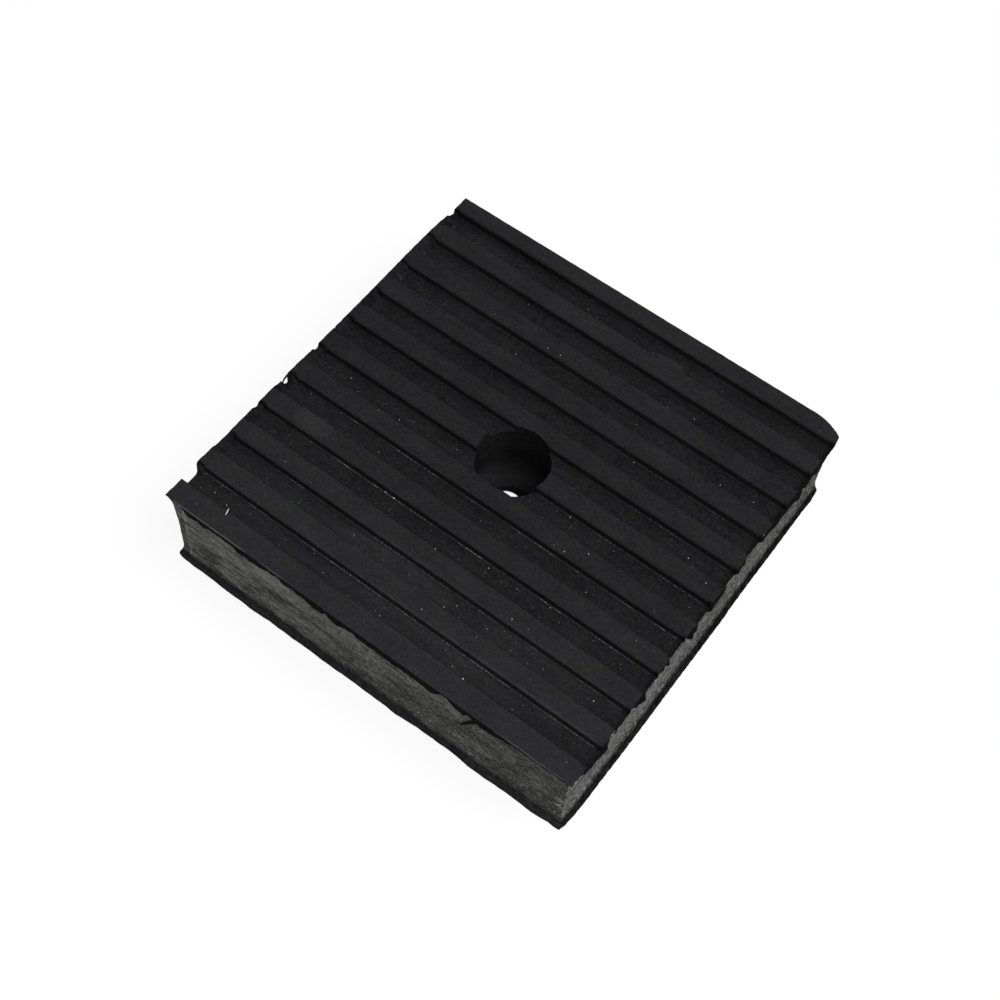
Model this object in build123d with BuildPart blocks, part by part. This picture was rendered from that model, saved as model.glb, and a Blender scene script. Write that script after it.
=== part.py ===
from build123d import *
import os

# Anti-vibration pad: one square block of moulded black rubber, ribbed on top, with a bolt hole
# The origin is at the middle of the underside, +Z is up and the ribs run along X, in millimetres

# Block
side_length = 100.0
pad_height = 25.0
hole_diameter = 16.0

# Ribs and grooves of the top face
rib_width = 4.7
groove_width = 4.85
groove_depth = 1.8
rib_edge_radius = 0.3
groove_floor_radius = 0.3

# Thin webs that close the grooves at their left ends, measured at the waist
web_thickness = 0.4

# Hollow sides, between a lip at the top edge and a wider lip at the base
waist_depth = 0.95
top_lip_height = 4.0
top_lip_edge = 0.3
base_lip_reach = 0.5
base_lip_height = 4.6
base_lip_edge = 0.6

# Clip of the right rear corner, measured along the top edges
clip_along_rear = 4.6
clip_along_right = 1.9

# Room above the ribs for the cut that makes the grooves
overrun = 5.0

# Places and counts that follow from the sizes above
half_top = side_length / 2
half_waist = half_top - waist_depth
half_base = half_top + base_lip_reach
rib_pitch = rib_width + groove_width
groove_count = round((side_length - rib_width) / rib_pitch)
front_groove = -rib_pitch * (groove_count - 1) / 2
groove_start = web_thickness - half_waist

with BuildPart() as pad:
    # The same waisted profile seen from the front and from the right, so the lips run right round
    for view, action in ((Plane.XZ, Mode.ADD), (Plane.YZ, Mode.INTERSECT)):
        with BuildSketch(view):
            with BuildLine():
                Line((0, 0), (half_base, 0))
                Line((half_base, 0), (half_base, base_lip_edge))
                waist = Line((half_waist, base_lip_height), (half_waist, pad_height - top_lip_height))
                TangentArc(waist @ 0, (half_base, base_lip_edge), tangent=(0, -1))
                TangentArc(waist @ 1, (half_top, pad_height - top_lip_edge), tangent=(0, 1))
                Line((half_top, pad_height - top_lip_edge), (half_top, pad_height))
                Line((half_top, pad_height), (0, pad_height))
                mirror(about=Plane.YZ)
            make_face()
        extrude(amount=half_base, both=True, mode=action)

    # Right rear corner, clipped above the base lip
    with BuildSketch(Plane.XY.offset(base_lip_height)):
        with BuildLine():
            Polyline(
                (half_top + clip_along_rear, half_top - 2 * clip_along_right),
                (half_top + clip_along_rear, half_top + clip_along_right),
                (half_top - 2 * clip_along_rear, half_top + clip_along_right),
                close=True,
            )
        make_face()
    extrude(amount=pad_height - base_lip_height, mode=Mode.SUBTRACT)

    # Grooves: all run from a web on the left out through the right side, and the front one, whose
    # web is torn out, runs on through the left side too
    for start, stop, count, middle in (
        (groove_start, half_base, groove_count, 0),
        (-half_base, groove_start, 1, front_groove),
    ):
        with BuildSketch(Plane.YZ.offset(start)) as grooves:
            with Locations((middle, pad_height)):
                with GridLocations(rib_pitch, 0, count, 1):
                    Rectangle(groove_width, groove_depth, align=(Align.CENTER, Align.MAX))
                    Rectangle(rib_pitch + rib_width, overrun, align=(Align.CENTER, Align.MIN))
            fillet(grooves.vertices().group_by(Axis.Y)[1], rib_edge_radius)
            fillet(grooves.vertices().group_by(Axis.Y)[0], groove_floor_radius)
        extrude(amount=stop - start, mode=Mode.SUBTRACT)

    # Bolt hole
    with Locations((0, 0, pad_height)):
        Hole(hole_diameter / 2)

pad.part.label = "vibration_pad"

os.makedirs("parts", exist_ok=True)
export_step(pad.part, "parts/vibration_pad.step")
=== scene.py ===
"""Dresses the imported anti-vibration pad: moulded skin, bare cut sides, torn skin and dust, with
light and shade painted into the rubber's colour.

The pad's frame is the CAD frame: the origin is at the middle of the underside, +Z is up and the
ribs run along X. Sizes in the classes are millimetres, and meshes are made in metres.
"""
import logging
import math
from dataclasses import dataclass
from enum import Enum
from typing import Any, Sequence

import bmesh
import bpy
import numpy as np
from mathutils import Matrix, Vector, kdtree, noise


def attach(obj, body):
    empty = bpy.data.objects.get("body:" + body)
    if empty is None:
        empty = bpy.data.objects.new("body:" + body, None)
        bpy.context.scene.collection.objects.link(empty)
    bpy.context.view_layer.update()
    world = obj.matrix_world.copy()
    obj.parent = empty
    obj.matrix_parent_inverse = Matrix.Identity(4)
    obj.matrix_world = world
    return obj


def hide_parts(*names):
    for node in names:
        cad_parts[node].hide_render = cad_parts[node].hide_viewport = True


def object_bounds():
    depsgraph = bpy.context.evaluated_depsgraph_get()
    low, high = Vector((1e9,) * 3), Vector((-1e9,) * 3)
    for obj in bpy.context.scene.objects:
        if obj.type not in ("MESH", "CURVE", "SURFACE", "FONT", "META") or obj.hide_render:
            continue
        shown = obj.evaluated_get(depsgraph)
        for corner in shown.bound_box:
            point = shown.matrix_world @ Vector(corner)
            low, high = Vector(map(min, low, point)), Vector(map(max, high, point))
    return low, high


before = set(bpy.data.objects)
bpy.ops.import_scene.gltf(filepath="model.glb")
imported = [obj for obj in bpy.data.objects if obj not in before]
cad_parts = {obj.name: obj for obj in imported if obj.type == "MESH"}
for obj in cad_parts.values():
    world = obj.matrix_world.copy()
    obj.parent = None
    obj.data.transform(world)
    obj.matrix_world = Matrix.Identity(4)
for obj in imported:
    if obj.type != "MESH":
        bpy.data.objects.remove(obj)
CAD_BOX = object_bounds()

MM = 0.001
BARE = "bare_depth"
# The pale line in the grooves' rear corners and along the front rim: dust and wear with a painted
# highlight.
DUST_AND_HIGHLIGHT = "dust_and_painted_highlight"
# How dark the skin is painted on the top: painted shade by each groove's rear wall, painted light
# where below zero, painted shade carried over the webs with their own darkness, and darker floor
# ends at the right.
PAINTED_SHADE_AND_DARK_WEBS = "painted_shade_and_dark_webs"
TINT = "fleck_tint"
WHOLE = -3.0  # the bare depth of whole skin
BOX_GAP = 0.01
STRAND_POINTS = 8
log = logging.getLogger("pad")
Colour = tuple[float, float, float]
Place = tuple[float, float]
Point = tuple[float, float, float]


class Edge(Enum):
    """The four sides of the pad, as (axis across the side, direction along that axis)."""

    FRONT = (1, -1)
    REAR = (1, 1)
    LEFT = (0, -1)
    RIGHT = (0, 1)


# Shader nodes


class Wire:
    """A node's output socket that can stand in Python sums."""

    def __init__(self, recipe: "Recipe", socket: bpy.types.NodeSocket) -> None:
        """Keeps the recipe that the socket belongs to, and the socket."""
        self.recipe = recipe
        self.socket = socket

    def _sum(self, operation: str, first: Any, second: Any) -> "Wire":
        """Adds one Math node on two wires or numbers."""
        return self.recipe.add("ShaderNodeMath", {"operation": operation}, {0: first, 1: second})

    def __add__(self, other: Any) -> "Wire":
        """Gives self + other."""
        return self._sum("ADD", self, other)

    def __radd__(self, other: Any) -> "Wire":
        """Gives other + self."""
        return self._sum("ADD", other, self)

    def __sub__(self, other: Any) -> "Wire":
        """Gives self - other."""
        return self._sum("SUBTRACT", self, other)

    def __rsub__(self, other: Any) -> "Wire":
        """Gives other - self."""
        return self._sum("SUBTRACT", other, self)

    def __mul__(self, other: Any) -> "Wire":
        """Gives self * other."""
        return self._sum("MULTIPLY", self, other)

    def __rmul__(self, other: Any) -> "Wire":
        """Gives other * self."""
        return self._sum("MULTIPLY", other, self)

    def __truediv__(self, other: Any) -> "Wire":
        """Gives self / other."""
        return self._sum("DIVIDE", self, other)

    def __rtruediv__(self, other: Any) -> "Wire":
        """Gives other / self."""
        return self._sum("DIVIDE", other, self)

    def top(self, other: Any) -> "Wire":
        """Gives the larger of self and other."""
        return self._sum("MAXIMUM", self, other)

    def ease(self, start: Any, stop: Any) -> "Wire":
        """Gives a soft step from 0 at start to 1 at stop, which may be the lower of the two."""
        sockets = {"Value": self, "From Min": start, "From Max": stop}
        return self.recipe.add("ShaderNodeMapRange", {"interpolation_type": "SMOOTHSTEP"}, sockets)

    def part(self, out: Any) -> "Wire":
        """Gives another output of the same node, by index or name."""
        return Wire(self.recipe, self.socket.node.outputs[out])


class Recipe:
    """A node tree, built one node at a time."""

    def __init__(self, owner: Any) -> None:
        """Empties the node tree of a material or a world."""
        owner.use_nodes = True
        self.owner = owner
        self.tree = owner.node_tree
        self.tree.nodes.clear()

    def add(
        self, kind: str, settings: dict[str, Any], sockets: dict[Any, Any], out: Any = 0
    ) -> Wire:
        """Adds any node.

        Args:
            kind: The node's type.
            settings: Its properties, set first; "stops" are a colour ramp's places and colours.
            sockets: A value or a wire for each input, by index, name or identifier.
            out: The output to hand back, by index, name or identifier.

        Returns:
            A wire from that output.
        """
        node = self.tree.nodes.new(kind)
        for key, value in settings.items():
            if key == "stops":
                for element, (place, colour) in zip(node.color_ramp.elements, value):
                    element.position, element.color = place, (*colour, 1.0)
            else:
                setattr(node, key, value)
        for key, value in sockets.items():
            target = self._socket(node.inputs, key)
            if isinstance(value, Wire):
                self.tree.links.new(value.socket, target)
            elif target.type == "RGBA" and len(value) == 3:
                target.default_value = (*value, 1.0)
            else:
                target.default_value = value
        return Wire(self, self._socket(node.outputs, out) if node.outputs else None)

    @staticmethod
    def _socket(sockets: Any, key: Any) -> bpy.types.NodeSocket:
        """Finds a socket by index, identifier or name."""
        if isinstance(key, int):
            return sockets[key]
        return next((s for s in sockets if s.identifier == key), None) or sockets[key]

    def blend(self, factor: Any, first: Any, second: Any) -> Wire:
        """Mixes two colours by the share of the second."""
        sockets = {"Factor_Float": factor, "A_Color": first, "B_Color": second}
        return self.add("ShaderNodeMix", {"data_type": "RGBA"}, sockets, "Result_Color")

    def scaled(self, vector: Wire, by: Any) -> Wire:
        """Multiplies a vector or a colour by another."""
        return self.add("ShaderNodeVectorMath", {"operation": "MULTIPLY"}, {0: vector, 1: by})

    def distance(self, vector: Wire, to: Point) -> Wire:
        """Gives the distance from a place to a point."""
        settings = {"operation": "DISTANCE"}
        return self.add("ShaderNodeVectorMath", settings, {0: vector, 1: to}, "Value")

    def place(self) -> Wire:
        """Gives the place on the surface, in millimetres."""
        return self.scaled(self.add("ShaderNodeTexCoord", {}, {}, "Object"), (1 / MM,) * 3)

    def grain(self, where: Wire, size: float, detail: float = 2.0, rough: float = 0.5) -> Wire:
        """Gives cloudy noise either side of zero, with its largest blots of this size."""
        sockets = {"Vector": where, "Scale": 1 / size, "Detail": detail, "Roughness": rough}
        return self.add("ShaderNodeTexNoise", {}, sockets) - 0.5

    def value_of(self, attribute: str) -> Wire:
        """Gives a number that the mesh keeps at its points."""
        return self.add("ShaderNodeAttribute", {"attribute_name": attribute}, {}, "Fac")

    def finish(self, shader: Wire, kind: str = "ShaderNodeOutputMaterial") -> Any:
        """Links the shader to the output and hands the material or world back."""
        self.add(kind, {}, {"Surface": shader})
        return self.owner


@dataclass(frozen=True)
class Spot:
    """A place on the pad's surface, in millimetres, and which part of the pad it is on."""

    place: Wire
    x: Wire
    y: Wire
    z: Wire
    up: Wire
    front: Wire
    right: Wire

    @classmethod
    def of(cls, r: Recipe) -> "Spot":
        """Adds the nodes that tell where the surface is.

        Args:
            r: The material being made.

        Returns:
            The place, with 1 for what faces up and for the front and right sides.
        """
        place = r.place()
        x = r.add("ShaderNodeSeparateXYZ", {}, {0: place})
        y, z = x.part(1), x.part(2)
        normal = r.add("ShaderNodeNewGeometry", {}, {}, "Normal")
        facing = r.add("ShaderNodeSeparateXYZ", {}, {0: normal})
        right = x.ease(48.0, 49.0) * facing.ease(0.25, 0.6)
        front = y.ease(-47.5, -48.6) * (1 - right)
        return cls(place, x, y, z, facing.part(2).ease(0.35, 0.85), front, right)


@dataclass(frozen=True)
class Patch:
    """A soft lighter patch on the moulded skin."""

    at: Place
    reach: Place
    strength: float

    def tone(self, spot: Spot, cloud: Wire) -> Wire:
        """Gives the patch's share of the skin's tone, with a cloudy edge."""
        across = (spot.x - self.at[0]) / self.reach[0]
        along = (spot.y - self.at[1]) / self.reach[1]
        return (across * across + along * along + cloud * 1.6).ease(1.25, 0.35) * self.strength


@dataclass(frozen=True)
class Specks:
    """Dust specks of one size: their gap, largest radius, clean share and strength."""

    gap: float
    radius: float
    clean: float
    strength: float

    def tone(self, r: Recipe, place: Wire) -> Wire:
        """Gives how strongly the specks cover a place.

        Args:
            r: The material being made.
            place: The place on the surface.

        Returns:
            The strength on a speck, and 0 elsewhere.
        """
        sockets = {"Vector": place, "Scale": 1 / self.gap}
        cell = r.add("ShaderNodeTexVoronoi", {"voronoi_dimensions": "2D"}, sockets, "Distance")
        chance = r.add("ShaderNodeSeparateColor", {}, {0: cell.part("Color")})
        size = chance.part(1)
        reach = (size * size * 0.7 + 0.3) * (self.radius / self.gap)
        dot = cell.ease(reach * 1.25, reach * 0.5)
        return dot * chance.ease(self.clean, self.clean + 0.3) * self.strength


@dataclass(frozen=True)
class Shade:
    """A lighter or darker stretch of a cut side, by where it fades in and out."""

    side: Edge
    strength: float
    along: Place | None = None
    until: Place | None = None
    height: Place | None = None

    def tone(self, spot: Spot) -> Wire:
        """Gives the stretch's share of the cut's tone.

        Args:
            spot: The place on the surface.

        Returns:
            The share, which is 0 on other sides.
        """
        on_front = self.side is Edge.FRONT
        share = (spot.front if on_front else spot.right) * self.strength
        run = spot.x if on_front else spot.y
        for wire, step in ((run, self.along), (run, self.until), (spot.z, self.height)):
            share = share * wire.ease(*step) if step else share
        return share


@dataclass(frozen=True)
class RubberFinish:
    """Moulded black rubber with a dusty skin and painted light and shade, and the grey rubber where
    that skin is cut away.
    """

    name: str = "pad_rubber"
    cool: Colour = (0.0172, 0.0172, 0.0196)
    warm: Colour = (0.0175, 0.0178, 0.0173)
    cut_dark: Colour = (0.060, 0.060, 0.058)
    cut_pale: Colour = (0.515, 0.515, 0.498)
    cut_fleck: Colour = (0.60, 0.59, 0.56)
    stain: Colour = (0.270, 0.265, 0.185)
    # Pale dust colour, also used for the painted highlight lines in the grooves' rear corners and
    # along the front rim.
    dust: Colour = (0.49, 0.50, 0.50)
    stain_at: Point = (35.8, -49.2, 14.6)
    stain_shape: Point = (1.0, 1.0, 0.36)
    bore_axis: Point = (-0.5, 0.5, 0.0)
    bore_edge: float = 8.3
    darkest: float = 0.2
    cut_rough: float = 0.92
    coat_rough: float = 0.42
    relief: float = 0.16
    specks: tuple[Specks, ...] = (
        Specks(0.8, 0.1, 0.55, 0.11),
        Specks(1.5, 0.13, 0.5, 0.22),
        Specks(3.6, 0.16, 0.5, 0.6),
    )
    patches: tuple[Patch, ...] = (
        Patch((11.0, 42.2), (4.0, 1.2), 0.55),
        Patch((-38.0, -18.0), (5.0, 3.0), 0.40),
        Patch((25.0, 23.0), (9.0, 4.0), 0.15),
        Patch((-34.0, -43.2), (16.0, 2.6), 0.16),
        Patch((8.0, -43.2), (30.0, 2.6), 0.34),
        Patch((-5.0, -33.6), (16.0, 2.6), 0.5),
        Patch((26.0, -33.6), (18.0, 2.6), 0.24),
        Patch((-34.0, -33.6), (18.0, 2.6), 0.14),
        Patch((-36.0, 33.4), (12.0, 2.6), 0.18),
        Patch((-36.0, 43.0), (12.0, 2.6), 0.18),
        Patch((-48.2, 32.0), (0.8, 0.55), 1.1),
        Patch((-48.3, 23.7), (0.8, 0.5), 0.9),
    )
    shades: tuple[Shade, ...] = (
        Shade(Edge.RIGHT, -0.13),
        Shade(Edge.RIGHT, 0.08, along=(25.0, -30.0)),
        Shade(Edge.RIGHT, -0.05, along=(5.0, 20.0), height=(9.0, 6.0)),
        Shade(Edge.RIGHT, -0.05, height=(10.0, 4.5)),
        Shade(Edge.FRONT, 0.1, along=(-30.0, -38.0), height=(9.5, 6.0)),
        Shade(Edge.FRONT, 0.06, along=(12.0, 18.0), until=(33.0, 27.0)),
        Shade(Edge.FRONT, -0.08, along=(28.0, 36.0), height=(13.0, 17.0)),
        Shade(Edge.FRONT, -0.12, along=(-16.0, 22.0)),
        Shade(Edge.FRONT, -0.05, height=(9.0, 4.5)),
        Shade(Edge.FRONT, -0.09, height=(17.5, 12.5)),
    )

    def build(self) -> bpy.types.Material:
        """Makes the material.

        Returns:
            The material of the pad and its torn skin.
        """
        r = Recipe(bpy.data.materials.new(self.name))
        spot = Spot.of(r)
        bare = self._bare(r, spot)
        skin, skin_rough = self._skin(r, spot, self._dust_and_painted_light(r, spot))
        cut, streaks = self._cut(r, spot)
        gloss = (0.12 + r.grain(spot.place, 6.0, 3.0) * 0.16).ease(0.0, 1.0) * 0.9
        sockets = {
            # The pale line of dust and wear with painted highlight, over skin and cut.
            "Base Color": r.blend(self._dust_and_highlight_dots(r, spot), r.blend(bare, skin, cut), self.dust),
            "Roughness": skin_rough + bare * (self.cut_rough - skin_rough),
            "Specular IOR Level": 0.0,
            "Coat Weight": spot.up * (1 - bare) * gloss,
            "Coat Roughness": self.coat_rough,
            "Normal": self._relief(r, spot.place, bare, streaks),
        }
        return r.finish(r.add("ShaderNodeBsdfPrincipled", {}, sockets))

    @staticmethod
    def _bare(r: Recipe, spot: Spot) -> Wire:
        """Gives 1 where the skin is gone: a ragged edge above, a soft fade into the base lip."""
        edge = (r.value_of(BARE) + r.grain(spot.place, 1.3, 4.0, 0.62) * 1.3).ease(-0.12, 0.12)
        raised = spot.front * (0.12 - spot.x.ease(-2.0, -14.0) * 0.42)
        height = spot.z + raised + r.grain(spot.place, 2.2, 3.0) * 1.3
        return edge * height.ease(2.0, 4.3)

    @staticmethod
    def _dust_and_highlight_dots(r: Recipe, spot: Spot) -> Wire:
        """Gives the share of the pale line in the grooves' corners and along the rim, in dots: dust
        and wear with a painted highlight.
        """
        broken = r.grain(r.scaled(spot.place, (0.8, 1.0, 1.0)), 0.34, 2.0, 0.65)
        lengths = (r.grain(spot.place, 7.0) * 3.0 + 0.5).ease(0.15, 0.95) * 1.1 + 0.1
        rim = spot.z.ease(23.8, 24.4)
        dots = (broken * 3.0 + 0.42).ease(0.2, 0.9) * (1.35 - rim * 0.95) * lengths
        return r.value_of(DUST_AND_HIGHLIGHT) * (dots + 0.14 + rim * 0.41)

    def _dust_and_painted_light(self, r: Recipe, spot: Spot) -> Wire:
        """Gives how light the skin is on each part of the pad, with dust and painted light.

        Args:
            r: The material being made.
            spot: The place on the surface.

        Returns:
            The factor: lighter towards the foot of the hole, with dust and with painted light
                bounced up from the floor; darker on the right side; the base lips lighter at the
                front and on their rounded noses with painted light, and grainy.
        """
        place, x, y, z = spot.place, spot.x, spot.y, spot.z
        front, right = spot.front, spot.right
        off = r.distance(r.scaled(place, (1.0, 1.0, 0.0)), self.bore_axis)
        bore = off.ease(self.bore_edge, self.bore_edge - 0.1) * (1 - spot.up)
        rings = r.grain(r.scaled(place, (0.3, 0.3, 1.6)), 1.3, 3.0, 0.6)
        # Down the hole: lighter towards its foot, with dust and with painted light bounced up from
        # the floor.
        shade = 1.0 + bore * (z.ease(14.0, 2.0) * 3.8 - 0.05 + rings)
        # Darker on the right side's skin, less so towards the rear.
        shade = shade - right * (0.34 - y.ease(20.0, 34.0) * 0.16)
        # Base lips: painted light on the front lip and on the lips' rounded noses, with grain.
        left_half = x.ease(-2.0, -14.0) * 0.36
        nose = front * (0.5 - left_half) + right * (0.34 - y.ease(-6.0, 3.0) * 0.3)
        lip_tone = front * (0.26 + left_half) - right * 0.12 + z.ease(2.4, 1.5) * nose
        lip = z.ease(5.0, 3.0) * right.top(front)
        return (shade + lip * (lip_tone + r.grain(place, 1.2, 3.0, 0.7) * 3.8)).top(0.26)

    def _skin(self, r: Recipe, spot: Spot, shade: Wire) -> tuple[Wire, Wire]:
        """Gives the moulded skin's colour and roughness.

        Args:
            r: The material being made.
            spot: The place on the surface.
            shade: How light the skin is on this part of the pad, with dust and painted light.

        Returns:
            The colour and the roughness.
        """
        place, y, up = spot.place, spot.y, spot.up
        broad = r.grain(place, 22.0)
        cloud = r.grain(place, 4.5, 3.0, 0.6)
        rubbed = r.grain(r.scaled(place, (0.16, 1.0, 1.0)), 1.6, 3.0)
        fine = r.grain(place, 0.62, 3.0, 0.65)
        tone = 1.0 + broad * 0.35 + cloud * 0.55 + rubbed * 0.4 + fine * 1.5
        # Painted light and shade: up-facing skin a little lighter, rib tops lighter towards the
        # front and rear edges, groove floors darker and more so towards the rear.
        floor = spot.z.ease(24.4, 23.5)
        painted_edge_light = y.ease(-4.0, -52.0) * 0.28 + y.ease(28.0, 50.0) * 0.14
        painted_floor_shade = floor * (0.26 + y.ease(0.0, 25.0) * 0.06)
        tone = tone + up * (0.04 + painted_edge_light * (1 - floor) - painted_floor_shade)
        for patch in self.patches:
            tone = tone + patch.tone(spot, cloud)
        # Painted shade kept on the mesh: by the grooves' rear walls and over the webs, painted
        # light where below zero, with the webs' own darkness.
        shadow = r.value_of(PAINTED_SHADE_AND_DARK_WEBS)
        tone = (tone * (1 - shadow * (0.78 + cloud * 0.8))).top(self.darkest) * shade
        hue = (r.grain(place, 3.2) * 3.0 + 0.42).ease(0.0, 1.0)
        grey = r.add("ShaderNodeCombineXYZ", {}, {0: tone, 1: tone, 2: tone})
        colour = r.scaled(r.blend(hue, self.cool, self.warm), grey)
        dust = self.specks[0].tone(r, place)
        for specks in self.specks[1:]:
            dust = dust.top(specks.tone(r, place))
        drift = 0.3 + (broad + 0.06).ease(-0.1, 0.14) * 0.7
        near = 0.5 + y.ease(8.0, -8.0) * 0.6
        dust = dust * up * drift * (1 - shadow) * (0.36 + floor * 0.5) * near
        rough = 0.55 + cloud * 0.4 + fine * 0.3 + dust * 0.3
        return r.blend(dust, colour, self.dust), rough

    def _cut(self, r: Recipe, spot: Spot) -> tuple[Wire, Wire]:
        """Gives the cut rubber's colour, and the streaks that its relief follows.

        Args:
            r: The material being made.
            spot: The place on the surface.

        Returns:
            The colour and the streaks.
        """
        place, x, z = spot.place, spot.x, spot.z
        front, right = spot.front, spot.right
        drawn = r.scaled(place, (0.26, 0.26, 1.0))
        streaks = r.grain(drawn, 0.5, 3.0, 0.65)
        bands = r.grain(drawn, 2.4)
        mottle = r.grain(place, 1.0, 3.0, 0.62)
        fine = r.grain(place, 0.36, 3.0, 0.7)
        slanted = {"Vector": place, "Rotation": (0.0, 0.62, 0.0), "Scale": (0.22, 1.0, 1.0)}
        smear = r.grain(r.add("ShaderNodeMapping", {}, slanted), 1.5, 3.0, 0.6)
        left_end = front * x.ease(4.0, -24.0)
        tone = 0.47 + streaks * (1.15 - left_end * 0.8) + bands * (0.45 - left_end * 0.25)
        tone = tone + mottle * (0.8 + right * 1.3) + r.grain(place, 8.0) * 0.4
        tone = tone + left_end * smear * 1.15 + fine * (1.3 + right * 1.1)
        for shade in self.shades:
            tone = tone + shade.tone(spot)
        pits = r.grain(place, 0.75).ease(0.1, 0.24) * (1 - left_end)
        wavy = x + bands * 0.9
        corner = front * wavy.ease(-46.3, -46.8)
        tone = tone - pits * 0.3 - corner * 0.14
        pale = r.grain(place, 0.42, 1.0).ease(0.17 - right * 0.04, 0.27) * 0.6
        seam = corner * wavy.ease(-47.3, -46.7) * (0.42 + streaks * 2.2)
        nick = front * x.ease(45.9, 47.3) * x.ease(49.2, 48.4) * z.ease(12.6, 11.2)
        nick = nick * z.ease(7.4, 8.8) * (smear * 4.0 + 0.3).ease(0.3, 0.7)
        colour = r.blend(tone.ease(0.0, 1.15), self.cut_dark, self.cut_pale)
        colour = r.blend(pale.top(seam).top(nick), colour, self.cut_fleck)
        middle = tuple(a * s for a, s in zip(self.stain_at, self.stain_shape))
        spread = r.distance(r.scaled(place, self.stain_shape), middle) + mottle * 1.2
        return r.blend(spread.ease(1.7, 0.3) * 0.4, colour, self.stain), streaks

    def _relief(self, r: Recipe, place: Wire, bare: Wire, streaks: Wire) -> Wire:
        """Gives the small relief of the skin and of the cut.

        Args:
            r: The material being made.
            place: The place on the surface.
            bare: 1 where the skin is gone.
            streaks: The streaks of the cut.

        Returns:
            The bent normal.
        """
        skin = r.grain(place, 0.7, 3.0, 0.6) * 0.22 + r.grain(place, 3.4) * 0.5
        torn = streaks * 1.3 + r.grain(place, 0.8, 3.0, 0.6)
        height = skin + bare * (torn - skin)
        sockets = {"Strength": 0.5, "Distance": self.relief * MM, "Height": height}
        return r.add("ShaderNodeBump", {}, sockets)


@dataclass(frozen=True)
class FleckFinish:
    """Lint, crumbs and a rust speck, by the tint kept on each one."""

    name: str = "loose_flecks"
    pale: Colour = (0.78, 0.77, 0.74)
    rust: Colour = (0.42, 0.17, 0.05)
    dull: float = 0.75
    relief: float = 0.05

    def build(self) -> bpy.types.Material:
        """Makes the material.

        Returns:
            The material of the flecks.
        """
        r = Recipe(bpy.data.materials.new(self.name))
        mottle = r.grain(r.place(), 0.3)
        dulled = tuple(c * self.dull for c in self.pale)
        pale = r.blend((mottle * 2.0 + 0.5).ease(0.0, 1.0), self.pale, dulled)
        raised = {"Strength": 0.3, "Distance": self.relief * MM, "Height": mottle}
        bump = r.add("ShaderNodeBump", {}, raised)
        colour = r.blend(r.value_of(TINT), pale, self.rust)
        sockets = {"Base Color": colour, "Roughness": 0.75 + mottle * 0.3, "Normal": bump}
        return r.finish(r.add("ShaderNodeBsdfPrincipled", {}, sockets))


@dataclass(frozen=True)
class FloorFinish:
    """A plain white floor that keeps the pad's shadow."""

    name: str = "white_floor"
    bounce: float = 0.25
    shade: float = 0.16
    glow: float = 0.86

    def build(self) -> bpy.types.Material:
        """Makes the material.

        Returns:
            The floor's material.
        """
        r = Recipe(bpy.data.materials.new(self.name))
        path = r.add("ShaderNodeLightPath", {}, {}, "Is Camera Ray")
        seen = path.top(path.part("Is Glossy Ray")).top(path.part("Is Transmission Ray"))
        plain = r.add("ShaderNodeBsdfDiffuse", {}, {"Color": (self.bounce,) * 3})
        shaded = r.add("ShaderNodeBsdfDiffuse", {}, {"Color": (self.shade,) * 3})
        glow = r.add("ShaderNodeEmission", {}, {"Color": (1.0, 1.0, 1.0), "Strength": self.glow})
        white = r.add("ShaderNodeAddShader", {}, {0: shaded, 1: glow})
        return r.finish(r.add("ShaderNodeMixShader", {}, {0: seen, 1: plain, 2: white}))


# Shapes


@dataclass(frozen=True)
class Wander:
    """A seeded wavy line that goes a little either side of zero."""

    seed: int
    longest: float
    reach: float
    layers: int = 5

    def at(self, along: np.ndarray) -> np.ndarray:
        """Works out the line.

        Args:
            along: Places along an edge, in millimetres.

        Returns:
            The line's height at each place, in millimetres.
        """
        dice = np.random.default_rng(self.seed)
        total = np.zeros_like(along, dtype=float)
        for layer in range(self.layers):
            length = self.longest / 1.9**layer * dice.uniform(0.8, 1.25)
            total += np.cos(along / length * 2 * np.pi + dice.uniform(0, 2 * np.pi)) / 1.5**layer
        return total * self.reach / 1.9


@dataclass(frozen=True)
class Line:
    """A line through drawn points, for an edge that isn't straight."""

    points: tuple[Place, ...]

    def at(self, along: np.ndarray) -> np.ndarray:
        """Gives the line's height at each place along the edge."""
        return np.interp(along, *np.array(self.points).T)


def soft_step(value: np.ndarray, start: float, stop: float) -> np.ndarray:
    """Gives a soft step from 0 at start to 1 at stop."""
    t = np.clip((value - start) / (stop - start), 0.0, 1.0)
    return t * t * (3 - 2 * t)


def depth_inside(spots: np.ndarray, outline: Sequence[Place]) -> np.ndarray:
    """Measures how far places lie inside a closed outline.

    Args:
        spots: One row for each place.
        outline: The outline's corners, in order.

    Returns:
        The distance to the outline, below zero outside it.
    """
    inside = np.zeros(len(spots), bool)
    gap = np.full(len(spots), np.inf)
    for a, b in zip(np.array(outline), np.roll(np.array(outline), -1, 0)):
        run = b - a
        share = np.clip((spots - a) @ run / (run @ run), 0.0, 1.0)
        gap = np.minimum(gap, np.linalg.norm(spots - a - share[:, None] * run, axis=1))
        crosses = (a[1] > spots[:, 1]) != (b[1] > spots[:, 1])
        where = a[0] + (spots[:, 1] - a[1]) / (run[1] if run[1] else 1e-9) * run[0]
        inside ^= crosses & (spots[:, 0] < where)
    return np.where(inside, gap, -gap)


def ring_faces(rings: int, around: int) -> list[list[int]]:
    """Gives the faces of a closed stack of rings.

    Args:
        rings: How many rings there are.
        around: How many points each one has.

    Returns:
        The two end caps, and then the faces between the rings.
    """
    last = around * (rings - 1)
    faces = [list(range(around))[::-1], list(range(last, last + around))]
    for row in range(0, last, around):
        for i in range(around):
            a, b = row + i, row + (i + 1) % around
            faces.append([a, b, b + around, a + around])
    return faces


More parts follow.
